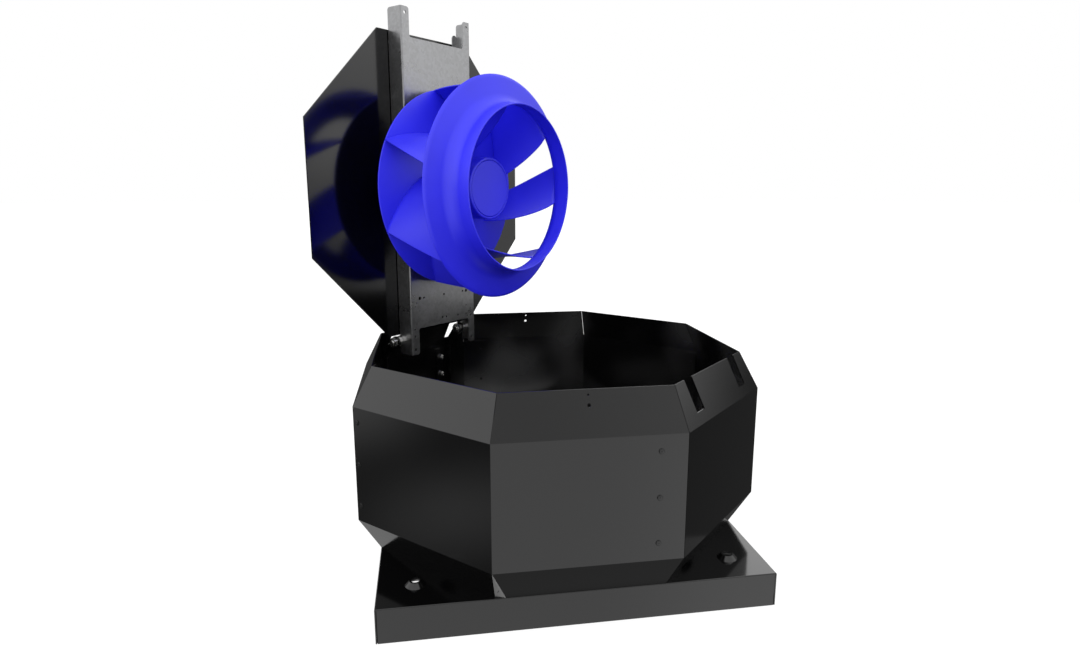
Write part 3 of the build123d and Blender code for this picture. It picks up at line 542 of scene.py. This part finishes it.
def button_bolt(name, length):
    """Domed bolt with a hexagon socket and a threaded shank."""
    dome = [(6.0 * cos(radians(lean)), 1.0 + 2.0 * sin(radians(lean)))
            for lean in range(0, 61, 12)]
    return turned(name, [
        (0, -length), (2.3, -length), *threaded(3.0, 0.5 - length, -4.0, 1.0), (3.0, 0.0),
        (5.7, 0.0), (6.0, 0.3), *dome, (2.6, 2.85), (hexagon(4.0), 2.75), (hexagon(4.0), 1.2),
        (0, 0.8),
    ], 36)


def blind_rivet(name, grip):
    """Rivet with a domed head, the pit of its drawn pin and a swollen tail."""
    dome = [(4.0 - 1.4 * share ** 2, 0.35 + 1.2 * (1 - (1 - share) ** 2))
            for share in (0, 0.25, 0.5, 0.75, 1)]
    return turned(name, [
        (0, -grip - 2.5), (1.3, -grip - 2.5), (2.3, -grip - 1.9), (2.4, -grip), (2.4, 0.0),
        (3.8, 0.0), *dome, (1.25, 1.6), (1.0, 1.45), (0.95, 0.7), (0, 0.7),
    ], 28)


def spacer_ring(name, bore, outer, length, edge):
    return turned(name, softened([
        (bore, 0, edge), (outer, 0, edge), (outer, length, edge), (bore, length, edge),
    ]), 48, closed=True)


# Geometry node trees that repeat a shape
def tree_inputs(group, wanted):
    """Adds a group's inputs and returns the identifier of each by its name."""
    made = {name: group.interface.new_socket(name, in_out="INPUT", socket_type=kind)
            for name, kind in wanted}
    group.interface.new_socket("Geometry", in_out="OUTPUT", socket_type="NodeSocketGeometry")
    return {name: socket.identifier for name, socket in made.items()}


def placed_tree():
    """Stands a fastener on every point, along the point's own facing, turned at random about it."""
    group = bpy.data.node_groups.new("placed_fasteners", "GeometryNodeTree")
    names = tree_inputs(group, (
        ("Geometry", "NodeSocketGeometry"), ("Fastener", "NodeSocketObject"),
        ("Turn", "NodeSocketFloat"), ("Seed", "NodeSocketInt"),
        ("Finish", "NodeSocketMaterial")))
    tree = Tree(group)
    entry = tree.add("NodeGroupInput")
    fastener = tree.add("GeometryNodeObjectInfo", None, {"Object": entry["Fastener"]})["Geometry"]
    outward = tree.add("GeometryNodeInputNamedAttribute", {"data_type": "FLOAT_VECTOR"},
                       {"Name": "facing"})["Attribute"]
    stand = tree.add("FunctionNodeAlignRotationToVector", {"axis": "Z"},
                     {"Vector": outward})["Rotation"]
    chance = tree.add("FunctionNodeRandomValue", {"data_type": "FLOAT"}, {8: entry["Seed"]})[1]
    spun = tree.add("FunctionNodeAxisAngleToRotation", None,
                    {"Axis": (0, 0, 1), "Angle": chance * entry["Turn"]})["Rotation"]
    turn = tree.add("FunctionNodeRotateRotation", {"rotation_space": "LOCAL"},
                    {"Rotation": stand, "Rotate By": spun})["Rotation"]
    placed = tree.add("GeometryNodeInstanceOnPoints", None, {
        "Points": entry["Geometry"], "Instance": fastener, "Rotation": turn})["Instances"]
    close_tree(tree, placed, entry["Finish"])
    return group, names


def ring_tree():
    """Repeats one blade about its own Z."""
    group = bpy.data.node_groups.new("blade_ring", "GeometryNodeTree")
    names = tree_inputs(group, (
        ("Geometry", "NodeSocketGeometry"), ("Count", "NodeSocketInt"),
        ("Finish", "NodeSocketMaterial")))
    tree = Tree(group)
    entry = tree.add("NodeGroupInput")
    centres = tree.add("GeometryNodePoints", None, {"Count": entry["Count"]})[0]
    number = tree.add("GeometryNodeInputIndex")["Index"]
    angle = number * (2 * pi) / entry["Count"]
    turn = tree.add("FunctionNodeAxisAngleToRotation", None,
                    {"Axis": (0, 0, 1), "Angle": angle})["Rotation"]
    placed = tree.add("GeometryNodeInstanceOnPoints", None, {
        "Points": centres, "Instance": entry["Geometry"], "Rotation": turn})["Instances"]
    close_tree(tree, placed, entry["Finish"])
    return group, names


def close_tree(tree, instances, finish):
    """Makes real meshes of the instances, gives them their finish and hands them out."""
    real = tree.add("GeometryNodeRealizeInstances", None, {"Geometry": instances})["Geometry"]
    done = tree.add("GeometryNodeSetMaterial", None,
                    {"Geometry": real, "Material": finish})["Geometry"]
    tree.add("NodeGroupOutput", None, {"Geometry": done})


def grown(mesh, group, names, settings):
    """Plain mesh that a node tree makes of a mesh."""
    source = bpy.data.objects.new(mesh.name, mesh)
    bpy.context.scene.collection.objects.link(source)
    repeat = source.modifiers.new("repeat", "NODES")
    repeat.node_group = group
    for name, value in settings.items():
        repeat[names[name]] = value
    bpy.context.view_layer.update()
    evaluated = source.evaluated_get(bpy.context.evaluated_depsgraph_get())
    made = bpy.data.meshes.new_from_object(evaluated)
    bpy.data.objects.remove(source)
    return made


fastener_tree = placed_tree()
blade_tree = ring_tree()


def fasteners(node, mesh, places, seed):
    """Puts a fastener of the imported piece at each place: its seat and the way its head faces."""
    seats = bpy.data.meshes.new(f"{node}_seats")
    seats.from_pydata([seat for seat, outward in places], [], [])
    ways = seats.attributes.new("facing", "FLOAT_VECTOR", "POINT")
    for item, (seat, outward) in zip(ways.data, places):
        item.vector = outward
    model = bpy.data.objects.new(f"{node}_model", mesh)
    bpy.context.scene.collection.objects.link(model)
    made = grown(seats, *fastener_tree, {
        "Fastener": model, "Turn": 2 * pi, "Seed": seed, "Finish": finishes[slot_of[node]]})
    bpy.data.objects.remove(model)
    weighted(finished(made, f"{node}_fine", node))


def weighted(piece):
    """Keeps the flat faces of a rounded piece flat in the light."""
    weighting = piece.modifiers.new("normals", "WEIGHTED_NORMAL")
    weighting.weight = 70


# Rivets of the casing, of its foot and of the inlet cone, in millimetres
corner_offset = wall_apothem * tan(pi / wall_count)
rivet_row_short, rivet_row_long = 9.0, 39.0
seam_columns = ((45, rivet_row_short - corner_offset), (0, corner_offset - rivet_row_long))
rivet_middle, rivet_pitch = 205, 68
foot_rivet_inset, foot_rivet_offset = 43.5, 80
cone_rivet_circle = 209


def wall_place(degree, column, height, inset=0.0):
    """Seat on a wall that faces an angle, with its outward way."""
    out = Vector((cos(radians(degree)), sin(radians(degree)), 0))
    along = Vector((-out.y, out.x, 0))
    return (out * (wall_apothem - inset) + along * column + upward * height) * 0.001, out


casing_seats = []
for seam in range(4):
    turn, column = seam_columns[seam % 2]
    casing_seats += [wall_place(90 * seam + turn, column, rivet_middle + rivet_pitch * row)
                     for row in (-1, 0, 1)]
fasteners("casing_rivets", blind_rivet("casing_rivet", grip=3.0), casing_seats, 3)
foot_seats = [(wall_place(wall_step * wall, side, base_top + panel_sheet, foot_rivet_inset)[0],
               upward)
              for wall in range(wall_count) for side in (-foot_rivet_offset, foot_rivet_offset)]
fasteners("foot_rivets", blind_rivet("foot_rivet", grip=3.5), foot_seats, 5)
cone_seats = [(Vector((cone_rivet_circle * cos(pi / 4 * step),
                       cone_rivet_circle * sin(pi / 4 * step), base_top + panel_sheet)) * 0.001,
               upward)
              for step in range(8)]
fasteners("inlet_cone_rivets", blind_rivet("cone_rivet", grip=3.5), cone_seats, 7)

# Fasteners of the hinge, in millimetres
hinge_w, hinge_height = -286.0, 337.4
leg_faces = (-87.0, 89.0)
side_clearance = 0.3
ear_sides = (-101.0, 75.0)
ear_sheet = 3.0
ear_bolt_shift = 13.5
ear_bolt_heights = (235.0, 272.0)
bracket_nut_depth = 9.5
hinge_nut_height = 9.0
bracket_bolt_spots = [(side - ear_bolt_shift, height)
                      for side in ear_sides for height in ear_bolt_heights]
fasteners("hinge_bracket_bolts", button_bolt("bracket_bolt", length=10.5),
          [(at(u, -wall_apothem, height), -away) for u, height in bracket_bolt_spots], 11)
fasteners("hinge_bracket_nuts", hexagon_nut("bracket_nut", flats=10.0, height=5.0, bore=3.05),
          [(at(u, bracket_nut_depth - wall_apothem, height), -away)
           for u, height in bracket_bolt_spots], 13)
fasteners("hinge_bolts",
          hexagon_bolt("hinge_bolt", flats=17.0, height=6.5, radius=5.0, length=25.3, pitch=1.5,
                       thread=12.0),
          [(at(leg + side_clearance, hinge_w, hinge_height), hinge_line) for leg in leg_faces], 17)
fasteners("hinge_nuts",
          hexagon_nut("hinge_nut", flats=17.0, height=hinge_nut_height, bore=5.05),
          [(at(side - hinge_nut_height, hinge_w, hinge_height), hinge_line)
           for side in ear_sides], 19)
fasteners("hinge_bushes",
          spacer_ring("hinge_bush", bore=5.05, outer=10.0, length=8.7, edge=0.6),
          [(at(side + ear_sheet, hinge_w, hinge_height), hinge_line) for side in ear_sides], 23)

# Fasteners of the lid and of the motor, in millimetres
lid_back, lid_front, flange_front = -290.0, -287.5, -284.0
lid_bolt_spots = [(u, height) for u in (-80.5, 80.5) for height in (360.4, 886.4)]
web_back = -255.0
motor_screw_offset = 52
fasteners("lid_bolts", button_bolt("lid_bolt", length=12.0),
          [(at(u, lid_back, height), -away) for u, height in lid_bolt_spots], 29)
fasteners("lid_spacers", spacer_ring("lid_spacer", bore=3.05, outer=5.5, length=1.5, edge=0.3),
          [(at(u, lid_front, height), away) for u, height in lid_bolt_spots], 31)
fasteners("lid_nuts", hexagon_nut("lid_nut", flats=10.0, height=5.0, bore=3.05),
          [(at(u, flange_front, height), away) for u, height in lid_bolt_spots], 37)
fasteners("motor_screws",
          hexagon_bolt("motor_screw", flats=11.0, height=4.0, radius=3.0, length=8.0, pitch=1.0,
                       thread=5.0),
          [(at(motor_screw_offset * cos(pi / 4 + pi / 2 * step), web_back,
               open_centre + motor_screw_offset * sin(pi / 4 + pi / 2 * step)), -away)
           for step in range(4)], 41)

# Inlet cone on the base plate, in millimetres: its flange, its bell and its lip
cone_flange_radius = 222
bell = course((cone_flange_radius, base_top), pi, ((36,), (50, -90), (4.4,)))
weighted(finished(turned("inlet_cone_spun", sheet_outline(bell, panel_sheet, -1), 160,
                         closed=True), "inlet_cone_spun", "inlet_cone"))

# Impeller, in millimetres from the duct's centre along its own axis
impeller_lip = -58.0
eye_radius = 141
shroud_wall = 2.5
hub_front, hub_root, hub_back = -132, -192.0, -232.0
cup_radius, cap_radius, plate_radius = 55, 50, 177
plate_wall = 3
# The shroud's collar, the bend towards its rim, its cone and the bend of its rim
flare = course((eye_radius, impeller_lip), atan2(-27, 1), ((19.3,), (26, 75), (26.3,), (12, -30)))
hub_profile = softened([
    (50.6, hub_front, 0.8), (cup_radius, hub_front, 2.4), (cup_radius, hub_root, 8),
    (plate_radius, hub_back + plate_wall, 1.3), (plate_radius, hub_back, 1.3),
    (52, hub_root - plate_wall, 4), (52, -142), (12, -142), (12, -138), (50.4, -138, 0.5),
])
cap_profile = softened([
    (0, hub_front), (cap_radius, hub_front, 1.4), (cap_radius, -135, 0.5), (47, -135),
    (47, -138, 0.4), (44, -138, 0.4), (44, -135), (0, -135),
], closed=False)


def moulding(mesh, name, stands_for):
    """Stands a mesh that was drawn about the impeller's axis on the open lid."""
    mesh.transform(fan_frame)
    weighted(finished(mesh, name, stands_for))


moulding(turned("impeller_shroud_moulded", sheet_outline(flare, shroud_wall, 1), 192, closed=True),
         "impeller_shroud_moulded", "impeller_shroud")
moulding(turned("impeller_hub_moulded", hub_profile, 160, closed=True),
         "impeller_hub_moulded", "impeller_hub")
moulding(turned("hub_cap_moulded", cap_profile, 128), "hub_cap_moulded", "hub_cap")

# Blades, in millimetres and degrees: where they start and end, and how far they wrap
blade_count = 7
blade_half = 1.5
blade_tail = 7
hub_inlet, hub_outlet = 84, 175
shroud_inlet, shroud_outlet = 150, 192.5
shroud_inlet_w, shroud_outlet_w = -85, -112.5
hub_wrap, shroud_wrap = 45, 23
shroud_lead, ring_lead = -5, -2.2
inlet_tip, outlet_root, outlet_tip = 156, 176.5, 194
hub_sink, shroud_sink = 0.012, 1.0


def hub_line(radius):
    """Height of the back plate's blade side at a radius."""
    slope = (hub_back + plate_wall - hub_root) / (plate_radius - cup_radius)
    return hub_root + slope * (radius - cup_radius)


def fan_point(radius, degree, w):
    return Vector((radius * cos(radians(degree)), radius * sin(radians(degree)), w))


def blade_place(along, across):
    """Point of the blade's middle surface: along it to the outlet, across it to the shroud."""
    hub_radius = hub_inlet + (hub_outlet - hub_inlet) * along
    shroud_radius = shroud_inlet + (shroud_outlet - shroud_inlet) * along
    shroud_w = shroud_inlet_w + (shroud_outlet_w - shroud_inlet_w) * along
    hub_degree = hub_wrap * (log(hub_radius / hub_inlet) / log(hub_outlet / hub_inlet) - 1)
    shroud_degree = shroud_lead + shroud_wrap * log(shroud_radius / shroud_inlet) / log(
        shroud_outlet / shroud_inlet)
    return fan_point(hub_radius + (shroud_radius - hub_radius) * across,
                     ring_lead + hub_degree + (shroud_degree - hub_degree) * across,
                     hub_line(hub_radius) + (shroud_w - hub_line(hub_radius)) * across)


def crossing(inside, low, high):
    """Where a test turns from true at one end to false at the other."""
    if inside(high):
        return high
    for _ in range(26):
        middle = (low + high) / 2
        low, high = (middle, high) if inside(middle) else (low, middle)
    return low


def beyond(first, last):
    """Which side of a line in the fan's section a point lies on: positive on its outer side."""
    (r0, w0), (r1, w1) = first, last
    return lambda point: (point.xy.length - r0) * (w1 - w0) - (point.z - w0) * (r1 - r0)


inlet_side = beyond((hub_inlet, hub_line(hub_inlet) - 10), (inlet_tip, impeller_lip))
outlet_side = beyond((outlet_root, hub_line(hub_outlet) - 10), (outlet_tip, impeller_lip))
flare_inner = [tuple(place) for place, way in flare]


def shroud_line(radius):
    """Height of the shroud's blade side at a radius, just within its sheet."""
    for (r0, w0), (r1, w1) in zip(flare_inner[1:], flare_inner[2:]):
        if r0 <= radius <= r1:
            return w0 + (w1 - w0) * (radius - r0) / (r1 - r0) + shroud_sink
    return -80.0 if radius < 145 else flare_inner[-1][1] + shroud_sink


def meets_shroud(along):
    """How far across the blade runs before it is in the shroud's sheet."""
    return crossing(lambda up: blade_place(along, up).z
                    < shroud_line(blade_place(along, up).xy.length), 0.5, 1.12)


shares = [step / 16 for step in range(17)]
inlet_ends = [crossing(lambda back: inlet_side(blade_place(-back, share)) > 0, -0.5, 0.08) * -1
              for share in shares]
outlet_ends = [crossing(lambda on: outlet_side(blade_place(on, share)) < 0, 0.5, 1.08)
               for share in shares]
shroud_ends = [meets_shroud(share) for share in shares]


def between(table, share):
    """Value of an even table at a share of its length."""
    spot = min(max(share, 0.0), 1.0) * (len(table) - 1)
    first = min(int(spot), len(table) - 2)
    return table[first] + (table[first + 1] - table[first]) * (spot - first)


def trimmed_place(chord, span):
    """Point between the blade's own edges: chord from inlet to outlet, span from hub to shroud."""
    across = span
    for _ in range(4):
        first, last = between(inlet_ends, across), between(outlet_ends, across)
        along = first + (last - first) * chord
        across = -hub_sink + (between(shroud_ends, along) + hub_sink) * span
    return blade_place(along, across)


def blade_stations(length):
    """Distances along a blade with its half thickness: round nose, even run and thin tail."""
    stations = [(blade_half * (1 - cos(pi / 2 * k / 4)), blade_half * sin(pi / 2 * k / 4))
                for k in range(5)]
    stations += [(blade_half + (length - (blade_half + blade_tail)) * k / 26, blade_half)
                 for k in range(1, 26)]
    stations += [(length - blade_tail, blade_half), (length - 3.5, 1.42), (length - 0.7, 1.3)]
    stations += [(length - 0.7 + 0.7 * sin(pi / 2 * k / 3), 0.6 + 0.7 * cos(pi / 2 * k / 3))
                 for k in (1, 2, 3)]
    return stations


def blade_mesh():
    """One blade, twisted between hub and shroud and sunk a little into both."""
    chords, spans = 64, 24
    middle = [[trimmed_place(chord / chords, span / spans) for chord in range(chords + 1)]
              for span in range(spans + 1)]
    shape = bmesh.new()
    loops = []
    for span, row in enumerate(middle):
        below, above = middle[max(span - 1, 0)], middle[min(span + 1, spans)]
        normals = [(row[min(k + 1, chords)] - row[max(k - 1, 0)]).cross(above[k] - below[k])
                   .normalized() for k in range(chords + 1)]
        travelled = [0.0]
        for first, last in zip(row, row[1:]):
            travelled.append(travelled[-1] + (last - first).length)
        front, back = [], []
        for distance, half in blade_stations(travelled[-1]):
            reached = max(index for index, value in enumerate(travelled) if value <= distance)
            k = min(reached, chords - 1)
            share = (distance - travelled[k]) / (travelled[k + 1] - travelled[k])
            spot = row[k].lerp(row[k + 1], share)
            normal = normals[k].lerp(normals[k + 1], share).normalized()
            front.append(shape.verts.new(spot + normal * half))
            back.append(shape.verts.new(spot - normal * half))
        loops.append(front + back[::-1])
    for loop, above in zip(loops, loops[1:]):
        join_loops(shape, loop, above)
    for loop in (loops[0], loops[-1]):
        for step in range(len(loop) // 2 - 1):
            shape.faces.new((loop[step], loop[step + 1], loop[-2 - step], loop[-1 - step]))
    return shaped("impeller_blade", shape)


moulding(grown(blade_mesh(), *blade_tree, {"Count": blade_count,
                                           "Finish": finishes["impeller_blue"]}),
         "impeller_blades_moulded", "impeller_blades")

# Studio. An angle round the fan is clockwise from +Y, in degrees
floor_radius = 30.0
floor_glow = 0.86
sky_light, ground_light, least_light = 1.05, 0.06, 0.02
matt_low, matt_rise = 0.46, 1.15
# Soft panels: the angle round the fan and the height of a panel's middle, half its even width and
# its fade, half its even height and its fade, and the light that it adds or takes
mirrored_panels = (
    (170, -28, 25, 26, 12, 22, 0.83),
    (140, -31, 12, 14, 8, 14, 0.25),
    (176, 34, 4, 40, 6, 16, -0.50),
    (-88, 21, 8, 20, 5, 10, 0.12),
    (-83, -14, 3, 5, 3, 5, 0.45),
    (-93, -25.8, 1.5, 10, 0.3, 4.5, 0.30),
    (60, 8, 8, 5, 8, 8, -0.40),
    (90, -1.5, 9, 8, 5.5, 3.5, 0.60),
    (95, 6.5, 8, 8, 4, 3, 0.38),
    (102, -9, 4, 4, 4, 4, -0.40),
    (0, -90, 180, 1, 20, 20, 0.10),
    (27, 28, 8, 10, 5, 8, 0.95),
    (8, 8, 22, 12, 7, 7, -0.75),
    (-8, 33, 12, 12, 8, 8, -0.85),
    (-36, -47, 10, 25, 10, 18, 0.50),
)
matt_panels = (
    (-165, 8, 35, 50, 20, 50, 0.70),
    (-75, 0, 40, 40, 30, 50, -0.12),
    (125, 0, 25, 35, 25, 40, -0.34),
)
camera_place = (-0.2120, -1.2059, 0.6292)
camera_dip, camera_turn = 11.25, -9.17
lens_length, film_width = 23.58, 36.0


def pale_floor():
    """Pale floor, lit mostly from within so that its shadow stays faint."""
    material, tree, shader, place = start_finish(
        "studio_floor", roughness=0.9, specular_ior_level=0.0, emission_strength=floor_glow)
    tone = tree.noise(place, 0.8)
    tree.feed(shader, "Base Color", tree.mix(tone, grey(0.19), grey(0.20)))
    tree.feed(shader, "Emission Color", tree.mix(tone, grey(0.99), grey(1.0)))
    bpy.ops.mesh.primitive_circle_add(vertices=96, radius=floor_radius, fill_type="NGON",
                                      location=(0, 0, -0.0005))
    floor = bpy.context.object
    floor.name = "studio_floor"
    floor.data.materials.append(material)
    floor.visible_glossy = False
    floor.visible_diffuse = False


def with_panels(tree, level, azimuth, height, panels):
    """Light level with soft panels added to it."""
    for middle, rise, width, width_fade, tall, tall_fade, gain in panels:
        aside = tree.math("ABSOLUTE", (azimuth + (540 - middle)) % 360 - 180)
        above = tree.math("ABSOLUTE", height - rise)
        share = (tree.smooth(aside, width + width_fade, width)
                 * tree.smooth(above, tall + tall_fade, tall))
        level = level + share * gain
    return tree.math("MAXIMUM", level, least_light)


def studio_light():
    """White behind the object, even light on matt surfaces and soft panels in reflections."""
    world = bpy.data.worlds.new("studio")
    bpy.context.scene.world = world
    world.use_nodes = True
    tree = Tree(world.node_tree)
    backdrop = world.node_tree.nodes["Background"]
    way = tree.add("ShaderNodeSeparateXYZ", None,
                   {0: tree.add("ShaderNodeTexCoord")["Generated"]})
    azimuth = tree.math("DEGREES", tree.math("ARCTAN2", way["X"], way["Y"]))
    height = tree.math("DEGREES", tree.math("ARCSINE", way["Z"]))
    mirrored = ground_light + tree.smooth(height, 0, 16) * (sky_light - ground_light)
    mirrored = with_panels(tree, mirrored, azimuth, height, mirrored_panels)
    matt = matt_low + tree.smooth(height, -28, 32) * matt_rise
    matt = with_panels(tree, matt, azimuth, height, matt_panels)
    path = tree.add("ShaderNodeLightPath")
    level = tree.add("ShaderNodeMix", {"data_type": "FLOAT"},
                     {0: path["Is Glossy Ray"], 2: matt, 3: mirrored})[0]
    level = tree.add("ShaderNodeMix", {"data_type": "FLOAT"},
                     {0: path["Is Camera Ray"], 2: level, 3: 1.0})[0]
    tree.feed(backdrop, "Color", grey(1.0))
    tree.feed(backdrop, "Strength", level)


def photograph_view():
    """Camera worked out from the corners of the casing and of the base in the photograph."""
    lens = bpy.data.cameras.new("photograph_view")
    lens.sensor_width = film_width
    lens.lens = lens_length
    camera = bpy.data.objects.new("photograph_view", lens)
    bpy.context.scene.collection.objects.link(camera)
    camera.location = camera_place
    camera.rotation_euler = (radians(90 - camera_dip), 0, radians(camera_turn))
    bpy.context.scene.camera = camera


pale_floor()
studio_light()
photograph_view()
bpy.context.scene.view_settings.view_transform = "Standard"
